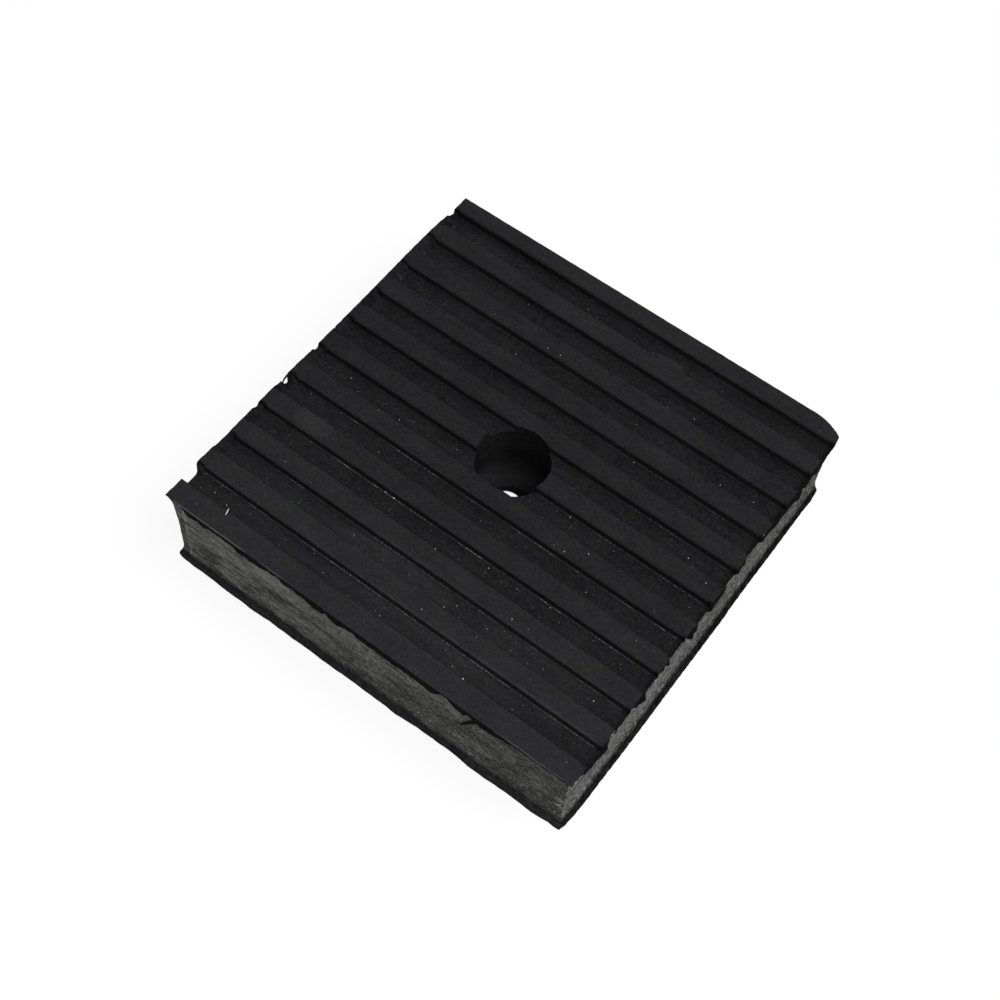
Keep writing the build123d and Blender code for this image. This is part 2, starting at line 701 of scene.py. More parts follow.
def tube(
    path: Sequence[Point], widths: Sequence[float], across: Point, thick: float
) -> tuple[np.ndarray, list[list[int]]]:
    """Makes a flattened strand along a path.

    Args:
        path: The strand's middle line.
        widths: Its width at each point of the path.
        across: The direction in which the width is measured.
        thick: Its thickness.

    Returns:
        The points and the faces.
    """
    turn = np.linspace(0, 2 * np.pi, STRAND_POINTS, endpoint=False)
    wide = np.array(across) / np.linalg.norm(across)
    way = np.array(path[-1]) - np.array(path[0])
    deep = np.cross(wide, way / np.linalg.norm(way))
    thin = np.sin(turn)[:, None] * deep * thick / 2
    side = np.cos(turn)[:, None] * wide
    rings = [np.array(p) + side * width / 2 + thin for p, width in zip(path, widths)]
    return np.concatenate(rings), ring_faces(len(path), STRAND_POINTS)


def inside_box(points: np.ndarray) -> np.ndarray:
    """Keeps points in millimetres a little inside the CAD box."""
    low, high = (np.array(corner) / MM for corner in CAD_BOX)
    return np.clip(points, low + BOX_GAP, high - BOX_GAP)


def mesh_object(name: str, points: np.ndarray, faces: Sequence[Sequence[int]]) -> bpy.types.Object:
    """Makes a mesh object from points in millimetres.

    Args:
        name: The object's name.
        points: One row for each vertex, in millimetres.
        faces: The vertices of each face.

    Returns:
        The object, linked to the scene.
    """
    mesh = bpy.data.meshes.new(name)
    mesh.from_pydata((np.asarray(points, float) * MM).tolist(), [], [list(f) for f in faces])
    mesh.validate()
    thing = bpy.data.objects.new(name, mesh)
    bpy.context.scene.collection.objects.link(thing)
    return thing


def mend(mesh: bpy.types.Mesh, merge: float = 0.0) -> None:
    """Merges a mesh's nearest points and turns its faces outward.

    Args:
        mesh: The mesh.
        merge: Points closer than this many millimetres become one.
    """
    work = bmesh.new()
    work.from_mesh(mesh)
    if merge:
        bmesh.ops.remove_doubles(work, verts=work.verts, dist=merge * MM)
    bmesh.ops.recalc_face_normals(work, faces=work.faces)
    work.to_mesh(mesh)
    work.free()


def keep_values(piece: bpy.types.Object, values: dict[str, Any]) -> None:
    """Keeps numbers at the points of a piece's mesh.

    Args:
        piece: The piece.
        values: One number for all the points, or one for each, by name.
    """
    count = len(piece.data.vertices)
    for name, value in values.items():
        store = piece.data.attributes.new(name, "FLOAT", "POINT")
        numbers = np.broadcast_to(np.asarray(value, np.float32), (count,))
        store.data.foreach_set("value", np.ascontiguousarray(numbers))


def dress(piece: bpy.types.Object, material: bpy.types.Material, angle: float = 38.0) -> None:
    """Gives a piece its material, smooth shading with sharp edges, and its place on the CAD body.

    Args:
        piece: The piece.
        material: Its material.
        angle: Edges sharper than this many degrees stay sharp.
    """
    mesh = piece.data
    mesh.materials.clear()
    mesh.materials.append(material)
    mesh.shade_smooth()
    mesh.set_sharp_from_angle(angle=math.radians(angle))
    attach(piece, "root")


@dataclass
class PadBody:
    """The pad itself: a waisted block with ribs on top, webs at the left, and a bolt hole."""

    half_top: float = 50.0
    half_waist: float = 49.05
    height: float = 25.0
    base_nose: float = 0.9
    base_lip: float = 4.6
    foot_round: float = 0.25
    top_lip: float = 4.0
    rim_round: float = 0.16
    lip_edge: float = 0.3
    corner_lift: tuple[Place, Place] = ((-43.5, -47.5), (11.0, 24.7))
    right_lip_edge: Line = Line((
        (-50, 1.7), (-21, 1.7), (-17, 1.5), (-12, 1.5), (-7, 1.62), (-3, 1.62), (3, 1.5), (8, 1.45),
        (12, 1.38), (50, 1.38),
    ))
    skirt: float = 3.0
    rib_width: float = 4.7
    groove_width: float = 4.85
    groove_depth: float = 1.8
    rib_round: float = 0.25
    floor_round: float = 0.3
    draft: float = 0.05
    groove_count: int = 10
    bore_radius: float = 8.0
    bore_middle: Place = (-0.5, 0.5)
    flash: Line = Line((
        (-180, 0.7), (-120, 0.4), (-40, 0.6), (0, 1.4), (30, 1.9), (95, 1.9), (99, 1.7), (106, 1.3),
        (112, 1.12), (118, 0.98), (126, 0.85), (131, 0.9), (140, 1.1), (180, 0.7),
    ))
    clip_start: float = 43.0
    clip_bend: float = 0.045
    clip_waist: float = 0.45
    clip_foot: Place = (3.0, 6.0)
    corner_radii: Line = Line(((0.0, 1.0), (2.0, 1.0), (5.0, 0.6), (21.0, 0.6), (23.5, 0.25)))
    corner_reach: Line = Line(((0.6, 50.2), (4.6, 49.05), (21.0, 49.05), (24.7, 50.0)))
    sink: float = 0.05
    merge: float = 0.004
    slant: float = 0.0045
    shift: float = 0.24
    slant_fade: Place = (50.0, 45.4)
    flap_edge: Place = (-0.15, 0.3)
    skin_drop: float = 0.5
    skin_drop_more: float = 0.35
    skin_drop_from: Place = (33.0, 37.0)
    rib_drop: float = 0.08
    webs: tuple[Line, ...] = (
        Line(((0, 0), (0.66, 0), (0.78, 0.3), (0.9, 0.75), (1, 0.9))),
        Line(((0, 1), (0.4, 0.92), (0.7, 1), (1, 1))),
        Line(((0, 1), (0.55, 0.95), (0.66, 0.74), (0.9, 0.7), (1, 0.95))),
        Line((
            (0, 1), (0.1, 0.92), (0.22, 0.76), (0.46, 0.7), (0.52, 0.15), (0.74, 0.15), (0.8, 0.8),
            (1, 1),
        )),
        Line(((0, 1), (0.3, 0.94), (0.56, 0.92), (0.68, 0.62), (0.9, 0.58), (1, 0.9))),
        Line(((0, 0.95), (0.1, 0.75), (0.2, 0.76), (0.3, 1), (0.55, 0.9), (0.7, 1), (1, 1))),
        Line(((0, 1), (1, 1))),
        Line(((0, 1), (1, 1))),
        Line(((0, 1), (1, 1))),
        Line(((0, 1), (0.45, 0.95), (0.62, 0.6), (0.85, 0.55), (1, 0.95))),
    )
    web_start: float = -47.9
    web_rise: float = 1.2
    # How dark each groove's web is at its left end: its own dark rubber, with painted shade at its
    # foot.
    web_dark_and_shade: tuple[float, ...] = (0.3, 0.5, 0.6, 0.7, 0.4, 0.3, 0.6, 0.3, 0.2, 0.6)
    # Painted shade on each groove's floor by its rear wall, at its left and at its right; below
    # zero it is painted light.
    painted_corner_shades: tuple[Place, ...] = (
        (0.0, -0.46), (0.22, -0.24), (0.05, 0.05), (0.08, 0.1), (0.2, 0.2), (0.2, 0.2),
        (0.15, 0.15), (0.1, 0.1), (0.2, 0.22), (0.42, 0.18),
    )
    base_lines: tuple[Line, ...] = (
        Line((
            (-50, -0.35), (-48, -0.1), (-46, -0.03), (-42, -0.05), (-38, 0.1), (-36, 0.24),
            (-33, 0.14), (-29, 0.32), (-25, 0.1), (-18, 0.2), (-15, 0.12), (-9, 0.28), (-3, 0.17),
            (3, 0.3), (6, 0.24), (7, 0.42), (9, 0.46), (10, 0.4), (12.5, 0.18), (15, 0.08),
            (19, 0.1), (22, 0.04), (24, 0.1), (26, 0.32), (27.5, 0.46), (31, 0.48), (32.2, 0.42),
            (36, 0.3), (39, 0.32), (42, 0.47), (44.3, 0.42), (45.4, 0.36), (46.2, 0.16),
            (47.2, 0.08), (48.2, 0.24), (50, 0.15),
        )),
        Line((
            (-50, 0.15), (-30, 0.3), (-10, 0.05), (12, 0.35), (30, 0.1), (40, 0.1), (46, -0.1),
            (50, -0.35),
        )),
        Line((
            (-50, 0.0), (-46, 0.2), (-30, 0.1), (-12, 0.25), (8, 0.1), (22, 0.3), (40, 0.1),
            (50, 0.2),
        )),
        Line((
            (-50, -0.25), (-48.6, -0.02), (-46, 0.24), (-42, 0.39), (-36, 0.39), (-30, 0.48),
            (-20, 0.48), (-10, 0.4), (0, 0.39), (10, 0.37), (12, 0.24), (20, 0.15), (30, 0.17),
            (40, 0.1), (44, 0.1), (46, 0.22), (48, 0.05), (50, -0.15),
        )),
    )
    top_lines: tuple[Line, ...] = (
        Line((
            (-50, -0.25), (-48, -0.08), (-45, 0.05), (-30, 0.1), (-5, 0.2), (10, 0.28), (30, 0.35),
            (42, 0.44), (50, 0.42),
        )),
        Line((
            (-50, 0.0), (-46, 0.0), (-5, 0.05), (40, 0.0), (50, 0.0),
        )),
        Line((
            (-50, 0.25), (-46, 0.2), (-43, 0.05), (-40, 0.48), (-38, 0.4), (-36, 0.38),
            (-34.5, 0.15), (-31.5, 0.1), (-30, 0.2), (-20, 0.3), (-10, 0.3), (-6, 0.18), (8, 0.2),
            (12, 0.22), (20, 0.33), (26, 0.42), (30, 0.48), (36, 0.48), (40, 0.38), (44, 0.05),
            (47, -0.05), (50, 0.0),
        )),
        Line((
            (-50, 0.05), (0, 0.05), (40, 0.1), (50, 0.0),
        )),
    )
    flaps: tuple[tuple[Place, ...], ...] = (
        (
            (-47.6, 25.2), (-45.5, 20.9), (-44, 20.4), (-42, 19.7), (-39.5, 17.9), (-36.5, 16.4),
            (-37.6, 20.9), (-38.2, 25.2),
        ),
        ((-36.9, 25.2), (-35.6, 21.8), (-34.9, 25.2)),
        (
            (-30.4, 25.2), (-28.3, 20.7), (-26.8, 17.7), (-27.4, 20.3), (-25.6, 18), (-22.9, 14.7),
            (-24.2, 19.5), (-25.9, 25.2),
        ),
        ((-21.2, 25.2), (-18, 20), (-18.6, 23), (-19.4, 25.2)),
        ((-19.4, 25), (-17.4, 21.4), (-15.7, 18.1), (-16, 20.6), (-16.8, 23), (-17.6, 25.2)),
        (
            (-12, 25.2), (-8.8, 19.7), (-6.2, 14.6), (-6.8, 19), (-5.4, 18.8), (-6.2, 21.9),
            (-7.1, 25.2),
        ),
        (
            (-4.8, 25.2), (-1.5, 19.8), (-0.3, 18.3), (0.4, 19.5), (4.1, 19.6), (4.6, 21.3),
            (2.9, 25.2),
        ),
        (
            (5.6, 25.2), (8.8, 20.7), (10.5, 19), (10, 21.2), (10.7, 21.2), (12.1, 19.7),
            (11, 23.6), (10.2, 25.2),
        ),
        (
            (15.4, 25.2), (17.5, 21.3), (18.5, 20.4), (20.8, 20.8), (23, 19.4), (24.8, 18.5),
            (25.7, 19.7), (28.2, 19.3), (30.8, 19.2), (33, 17.2), (35, 15.2), (35.8, 16.2),
            (34.6, 21.5), (36, 18.6), (37.2, 19.6), (39, 20.2), (40.4, 18.5), (41.9, 18.9),
            (44.6, 20.6), (51.3, 20.5), (51, 25.2),
        ),
    )
    # How strong the pale line along the front rim is at each x: wear with a painted highlight on
    # the edge.
    rim_wear_and_highlight: Line = Line((
        (-48.5, 0.0), (-47, 0.2), (-33, 0.22), (-30, 0.12), (-29.4, 0.0), (-25.2, 0.0),
        (-24.5, 0.16), (-20.5, 0.13), (-19, 0.02), (32, 0.02), (35, 0.12), (41, 0.15), (47, 0.1),
        (49, 0.0),
    ))
    # Strength and starting x of the pale line in each groove's rear corner, front groove first:
    # dust with a painted highlight that fades towards the rear.
    corner_dust_and_highlight: tuple[Place, ...] = (
        (0.3, -60), (0.22, -41), (0.29, -41), (0.22, -39), (0.16, 2), (0.14, 22), (0.09, 10),
        (0.06, -60), (0.04, -60), (0.03, -60),
    )

    def lip_share(self, z: np.ndarray, straight: np.ndarray) -> tuple[np.ndarray, np.ndarray]:
        """Gives how much of each lip's reach a height has.

        Args:
            z: Heights above the underside.
            straight: The height of the top lip's upright edge at each place.

        Returns:
            The share of the top lip and of the base lip, from 0 at the waist to 1.
        """
        shares = []
        for rise, gap in (
            (z - (self.height - self.top_lip), self.top_lip - straight),
            (self.base_lip - z, self.base_lip - self.base_nose),
        ):
            radius = (1 + gap**2) / 2
            shares.append(radius - np.sqrt(radius**2 - np.clip(rise, 0.0, gap) ** 2))
        return shares[0], shares[1]

    def flap_depth(self, along: np.ndarray, z: np.ndarray) -> np.ndarray:
        """Gives how far places on the right side lie inside the skin that still hangs there."""
        ragged = along + Wander(72, 1.3, 0.12).at(z), z + Wander(73, 1.1, 0.15).at(along)
        spots = np.stack(ragged, 1)
        return np.max([depth_inside(spots, outline) for outline in self.flaps], axis=0)

    def edge_loss(self, z: np.ndarray) -> np.ndarray:
        """Gives how far the rounded rim and foot stand back at each height."""
        rim = np.clip(z - (self.height - self.rim_round), 0.0, self.rim_round)
        foot = np.clip(self.foot_round - z, 0.0, self.foot_round)
        rim = self.rim_round - np.sqrt(self.rim_round**2 - rim**2)
        return rim + self.foot_round - np.sqrt(self.foot_round**2 - foot**2)

    def groove_middles(self) -> np.ndarray:
        """Gives the middle of each groove across the ribs, front first."""
        pitch = self.rib_width + self.groove_width
        return pitch * (np.arange(self.groove_count) - (self.groove_count - 1) / 2)

    def top_section(self) -> tuple[np.ndarray, np.ndarray, np.ndarray]:
        """Draws the ribs and grooves, front to rear.

        Returns:
            Places across the ribs, heights, and the groove that each point lies in or -1.
        """
        floor = self.height - self.groove_depth
        half, flat = self.groove_width / 2, 9
        turn = np.linspace(0, math.pi / 2, 4)
        y_half = np.concatenate([
            -(half + self.rib_round) + self.rib_round * np.sin(turn),
            np.full(2, -half),
            -half + self.floor_round * (1 - np.cos(turn)),
            np.linspace(-half + self.floor_round, half - self.floor_round, flat + 2)[1:-1],
        ])
        z_half = np.concatenate([
            self.height - self.rib_round * (1 - np.cos(turn)),
            np.linspace(self.height - self.rib_round, floor + self.floor_round, 4)[1:-1],
            floor + self.floor_round * (1 - np.sin(turn)),
            np.full(flat, floor),
        ])
        y_half = y_half + self.draft * (self.height - z_half) / self.groove_depth
        side = len(y_half) - flat
        y_one = np.concatenate([y_half, -y_half[:side][::-1]])
        z_one = np.concatenate([z_half, z_half[:side][::-1]])
        ys, zs, groove = [], [], []
        last = -self.half_top
        for k, middle in enumerate(self.groove_middles()):
            rib = np.linspace(last, middle + y_one[0], 9)
            rib = np.concatenate([rib[:1], [rib[0] + 0.14], rib[1:-1]]) if k == 0 else rib[1:-1]
            ys += [rib, middle + y_one]
            zs += [np.full(len(rib), self.height), z_one]
            groove += [np.full(len(rib), -1), np.full(len(y_one), k)]
            last = middle + y_one[-1]
        rib = np.linspace(last, self.half_top, 9)[1:]
        ys.append(rib)
        zs.append(np.full(len(rib), self.height))
        groove.append(np.full(len(rib), -1))
        return np.concatenate(ys), np.concatenate(zs), np.concatenate(groove)

    def stations(self) -> np.ndarray:
        """Gives the places along the ribs where the section is set down, left to right."""
        left = np.array([-50, -49.85, -49.6, -49.3, -49.0, -48.7, -48.4, -48.1, -47.8, -47.4])
        right = np.array([48.6, 49.0, 49.3, 49.6, 49.8, 49.92, 50.0])
        return np.concatenate([left, np.linspace(-47.0, 48.2, 74), right])

    def levels(self) -> np.ndarray:
        """Gives the heights of the side faces' rows, from the underside up."""
        low = np.array([0, 0.08, 0.2, 0.38, 0.6, 0.9, 1.3, 1.8, 2.4, 3.0, 3.6, 4.2])
        middle = np.concatenate([np.linspace(5.0, 14.2, 11), np.linspace(14.8, 20.2, 10)])
        high = np.array([20.8, 21.3, 21.8, 22.3, 22.8, 23.3, 23.7])
        rim = np.array([24.1, 24.4, 24.65, 24.84, 24.92, 24.97, 25.0])
        return np.concatenate([low, middle, high, rim])

    def shell(self) -> tuple[np.ndarray, list[list[int]], np.ndarray, np.ndarray]:
        """Lays out the whole surface before its edges are made uneven.

        Returns:
            The points as (nominal x, nominal y, z), the faces, which points are on the sides, and
            how dark each point is painted: painted shade by the grooves' rear walls (painted light
            below zero), the webs' own darkness with the walls' painted shade carried over them, and
            the floors' darker right ends.
        """
        ys, zs, groove = self.top_section()
        xs, rows = self.stations(), self.levels()
        fill, dark, share = np.zeros((3, len(ys)))
        corner = np.zeros((len(ys), len(xs)))
        for k, middle in enumerate(self.groove_middles()):
            on = groove == k
            share[on] = (ys[on] - middle) / self.groove_width + 0.5
            fill[on] = self.webs[k].at(share[on])
            dark[on] = self.web_dark_and_shade[k]
            left, right = self.painted_corner_shades[k]
            fade = left + (right - left) * soft_step(xs, -26.0, -6.0)
            corner[on] = soft_step(share[on], 0.5, 0.95)[:, None] * fade
        fill = np.where(fill > 0, np.clip(fill + Wander(31, 3.0, 0.07).at(ys), 0.0, 1.0), 0.0)
        start = self.web_start + Wander(32, 4.0, 0.4).at(ys)
        climb = np.stack([soft_step(xs, s, s - self.web_rise) for s in start])
        top = np.zeros((len(ys), len(xs), 3))
        top[..., 0], top[..., 1] = xs[None, :], ys[:, None]
        web = self.height - self.groove_depth * (1 - fill[:, None] * climb)
        top[..., 2] = np.maximum(zs[:, None], web)
        front = np.zeros((len(rows), len(xs), 3))
        front[..., 0], front[..., 1], front[..., 2] = xs[None, :], -self.half_top, rows[:, None]
        caps = []
        for place, column in ((-self.half_top, 0), (self.half_top, -1)):
            cap = np.zeros((len(rows), len(ys), 3))
            cap[..., 0], cap[..., 1] = place, ys[None, :]
            cap[..., 2] = rows[:, None] / self.height * top[:, column, 2][None, :]
            caps.append(cap)
        # The webs' own darkness, with the rear wall's painted shade carried over each web to the
        # edge.
        dark = np.minimum(fill * 3.0, np.maximum(dark, soft_step(share, 0.9, 0.97)))
        dark = dark[:, None] * soft_step(xs, -48.0, -48.8)
        dark = dark + Wander(33, 1.7, 0.2).at(ys)[:, None] * climb
        # The groove floors darker at their right ends.
        ends = np.where(groove >= 0, 0.6, 0.0)[:, None] * soft_step(xs, 48.6, 49.6)
        ends = np.clip(np.maximum(dark, ends), 0.0, 1.0)
        shades = [(corner + (1 - corner) * ends).ravel()]
        points, faces, sides, first = [], [], [], [0]
        rear = front * np.array([1, -1, 1])
        grids = (top, False), (front, False), (rear, True), (caps[0], True), (caps[1], False)
        for grid, turned in grids:
            n, m = grid.shape[:2]
            index = first[-1] + np.arange(n * m).reshape(n, m)
            corners = index[:-1, :-1], index[:-1, 1:], index[1:, 1:], index[1:, :-1]
            quads = np.stack(corners, -1).reshape(-1, 4)
            faces += (quads[:, ::-1] if turned else quads).tolist()
            points.append(grid.reshape(-1, 3))
            sides.append(np.full(n * m, grid is not top))
            if grid is not top:
                shades.append(np.zeros(n * m))
            first.append(first[-1] + n * m)
        loop = list(range(first[1], first[1] + len(xs)))
        loop += list(range(first[4], first[4] + len(ys)))[1:]
        loop += list(range(first[2], first[2] + len(xs)))[::-1][1:]
        loop += list(range(first[3], first[3] + len(ys)))[::-1][1:-1]
        faces.append(loop[::-1])
        return np.concatenate(points), faces, np.concatenate(sides), np.concatenate(shades)

    def lip_lines(self, edge: Edge, along: np.ndarray) -> tuple[np.ndarray, np.ndarray]:
        """Gives how far the two lips of a side stand out.

        Args:
            edge: The side.
            along: Places along it.

        Returns:
            The reach of the top lip and of the base lip, beyond the half width of the top.
        """
        side = list(Edge).index(edge)
        seed = 11 + 7 * side
        top = self.top_lines[side].at(along) + Wander(seed + 3, 2.6, 0.04, 4).at(along)
        base = self.base_lines[side].at(along) + Wander(seed + 2, 3.2, 0.045, 4).at(along)
        if edge is Edge.REAR:
            top = top - self.clip(along)
        return top, base

    def clip(self, along: np.ndarray) -> np.ndarray:
        """Gives how much of the rear edge is clipped off towards the right corner."""
        return self.clip_bend * np.maximum(along - self.clip_start, 0.0) ** 2

    def placed(self, nominal: np.ndarray) -> np.ndarray:
        """Moves points from the plain block to the waisted, worn one.

        Args:
            nominal: Points as (nominal x, nominal y, z).

        Returns:
            Their places in millimetres.
        """
        out = nominal.copy()
        inner = self.half_top - self.skirt
        depth = self.half_top - self.half_waist
        for edge in Edge:
            axis, way = edge.value
            near = nominal[:, axis] * way > inner
            z, along = nominal[near, 2], nominal[near, 1 - axis]
            straight = np.full(len(z), self.lip_edge)
            if edge is Edge.RIGHT:
                straight = self.right_lip_edge.at(along)
            high, low = self.lip_share(z, straight)
            if edge is Edge.LEFT:
                where, (foot, head) = self.corner_lift
                lift = np.clip((z - foot) / (head - foot), 0.0, 1.0) ** 2
                high = np.maximum(high, soft_step(along, *where) * lift)
            top, base = self.lip_lines(edge, along)
            reach = self.half_waist + high * (depth + top) + low * (depth + base)
            if edge is Edge.REAR:
                lower = self.clip_waist * (1 - high) * soft_step(z, *self.clip_foot)
                reach = reach - lower * self.clip(along)
            if edge is Edge.RIGHT:
                cover = soft_step(self.flap_depth(along, z), *self.flap_edge)
                reach = reach + cover * np.maximum(self.half_top + top - reach, 0.0)
            reach = reach - self.edge_loss(z)
            share = (nominal[near, axis] * way - inner) / self.skirt
            out[near, axis] = way * (inner + share * (reach - inner))
        out = self.rounded(out, nominal)
        inside = soft_step(np.abs(nominal[:, 1]), *self.slant_fade)
        out[:, 1] += (self.shift - self.slant * nominal[:, 0]) * inside
        return out

    def rounded(self, points: np.ndarray, nominal: np.ndarray) -> np.ndarray:
        """Rounds the upright corners.

        Args:
            points: Places in millimetres.
            nominal: The same points on the plain block.

        Returns:
            The rounded places.
        """
        z = nominal[:, 2]
        radius, reach = self.corner_radii.at(z), self.corner_reach.at(z)
        q = np.abs(points[:, :2]) - (reach - radius)[:, None]
        inside = (q > 0).all(1)
        scale = q.max(1) / np.maximum(np.linalg.norm(q, axis=1), 1e-9)
        moved = (reach - radius)[:, None] + q * scale[:, None]
        out = points.copy()
        out[inside, :2] = np.sign(points[inside, :2]) * moved[inside]
        return out

    def roughened(self, points: np.ndarray, sides: np.ndarray) -> np.ndarray:
        """Adds the fine unevenness that a mould and a knife leave.

        Args:
            points: Places in millimetres.
            sides: True for points on the cut sides.

        Returns:
            The uneven places.
        """
        out = points.copy()
        for i, (p, on_side) in enumerate(zip(points, sides)):
            if on_side and 3.5 < p[2] < 22.5:
                step = noise.fractal(Vector((p[0] * 0.12, p[1] * 0.12, p[2] * 0.5)), 1.0, 2.1, 3)
                axis = 0 if abs(p[0]) > abs(p[1]) else 1
                out[i, axis] -= 0.1 * (step + 0.5) * math.copysign(1.0, p[axis])
            elif p[2] > 21.0:
                dent = noise.fractal(Vector((p[0] * 0.09, p[1] * 0.2, 3.0)), 1.0, 2.0, 2)
                out[i, 2] -= self.sink + 0.025 * (dent + 1.0)
        return out

    def bare_depth(self, nominal: np.ndarray, sides: np.ndarray) -> np.ndarray:
        """Works out where the skin is cut away.

        Args:
            nominal: Points on the plain block.
            sides: True for points on the sides.

        Returns:
            Millimetres below the edge of the skin, below zero where the skin is whole.
        """
        depth = np.full(len(nominal), WHOLE)
        z = nominal[:, 2]
        for edge in Edge:
            axis, way = edge.value
            on = sides & (nominal[:, axis] * way > self.half_top - 0.01)
            along = nominal[on, 1 - axis]
            drop = self.skin_drop + Wander(71, 5.0, 0.3).at(along)
            if edge is Edge.FRONT:
                drop = drop + self.skin_drop_more * soft_step(along, *self.skin_drop_from)
            below = self.height - drop - z[on]
            if edge is Edge.RIGHT:
                off = np.abs(along[:, None] - self.groove_middles()).min(1)
                in_groove = self.groove_depth + self.skin_drop
                over = np.where(off < self.groove_width / 2, in_groove, self.rib_drop)
                over = over + Wander(74, 2.1, 0.3).at(along) * np.where(over > 1, 1.0, 0.25)
                below_flap = np.clip(-self.flap_depth(along, z[on]), WHOLE, -WHOLE)
                below = np.minimum(below_flap, self.height - over - z[on])
            depth[on] = np.maximum(depth[on], below)
        return depth

    def dust_and_painted_highlight(self, nominal: np.ndarray) -> np.ndarray:
        """Works out the pale line in the grooves' rear corners and along the front rim: dust and
        rubbing with a painted highlight.

        Args:
            nominal: Points on the plain block.

        Returns:
            The share of the pale line, dust and wear with painted highlight, at each point.
        """
        x, y, z = nominal.T
        floor = self.height - self.groove_depth
        worn = np.zeros(len(nominal))
        for middle, (strength, start) in zip(self.groove_middles(), self.corner_dust_and_highlight):
            off = y - (middle + self.groove_width / 2 - 0.2)
            in_corner = (np.abs(off) < 0.06) & (z < floor + 0.1) & (np.abs(x) < 48.6)
            worn[in_corner] = strength * (0.25 + 0.75 * soft_step(x[in_corner], start, start + 8))
        on_rim = (y < -49.9) & (z > self.height - 0.1) & (np.abs(x) < 49)
        worn[on_rim] = self.rim_wear_and_highlight.at(x[on_rim])
        return worn

    def cutter(self) -> bpy.types.Object:
        """Makes the tool that bores the hole and leaves a thin flash at its foot."""
        around = 112
        turn = np.linspace(-np.pi, np.pi, around, endpoint=False)
        heights = np.concatenate([[-1.0, 0.3, 0.5, 0.75], np.linspace(1.4, self.height + 1.0, 24)])
        flash = self.flash.at(np.degrees(turn)) + Wander(7, 1.1, 0.06, 3).at(turn)
        points = []
        x, y = self.bore_middle
        for height in heights:
            radius = self.bore_radius + Wander(5, 2.0, 0.05).at(turn)
            radius = radius + Wander(6, 9.0, 0.03).at(turn + height)
            level = np.full(around, height)
            radius = radius - flash * soft_step(level, 0.8, 0.4)
            ring = x + radius * np.cos(turn), y + radius * np.sin(turn), level
            points.append(np.stack(ring, 1))
        faces = ring_faces(len(heights), around)
        return mesh_object("bore_cutter", np.concatenate(points), faces)

    def build(self, material: bpy.types.Material) -> bpy.types.Object:
        """Makes the pad and puts it in place of its CAD solid.

        Args:
            material: The rubber.

        Returns:
            The finished piece.
        """
        nominal, faces, sides, shades = self.shell()
        points = inside_box(self.roughened(self.placed(nominal), sides))
        points[nominal[:, 2] == 0, 2] = 0.0
        depth = self.bare_depth(nominal, sides)
        pad = mesh_object("pad_body", points, faces)
        mend(pad.data, self.merge)
        tool = self.cutter()
        bore = pad.modifiers.new("bore", "BOOLEAN")
        bore.operation, bore.solver, bore.object = "DIFFERENCE", "EXACT", tool
        shown = pad.evaluated_get(bpy.context.evaluated_depsgraph_get())
        finished = bpy.data.meshes.new_from_object(shown)
        pad.modifiers.clear()
        pad.data = finished
        bpy.data.objects.remove(tool)
        tree = kdtree.KDTree(len(points))
        for i, p in enumerate(points):
            tree.insert(p * MM, i)
        tree.balance()
        near = np.array([tree.find(v.co)[1] for v in finished.vertices])
        off = np.array([v.co for v in finished.vertices])[:, :2] / MM - np.array(self.bore_middle)
        by_hole = np.hypot(off[:, 0], off[:, 1]) < self.bore_radius + 0.4
        # The pale line of dust and wear with painted highlight, kept off the hole.
        worn = np.where(by_hole, 0.0, self.dust_and_painted_highlight(nominal)[near])
        bare = np.where(by_hole, WHOLE, depth[near])
        keep_values(pad, {BARE: bare, DUST_AND_HIGHLIGHT: worn, PAINTED_SHADE_AND_DARK_WEBS: shades[near]})
        dress(pad, material)
        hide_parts("vibration_pad")
        return pad


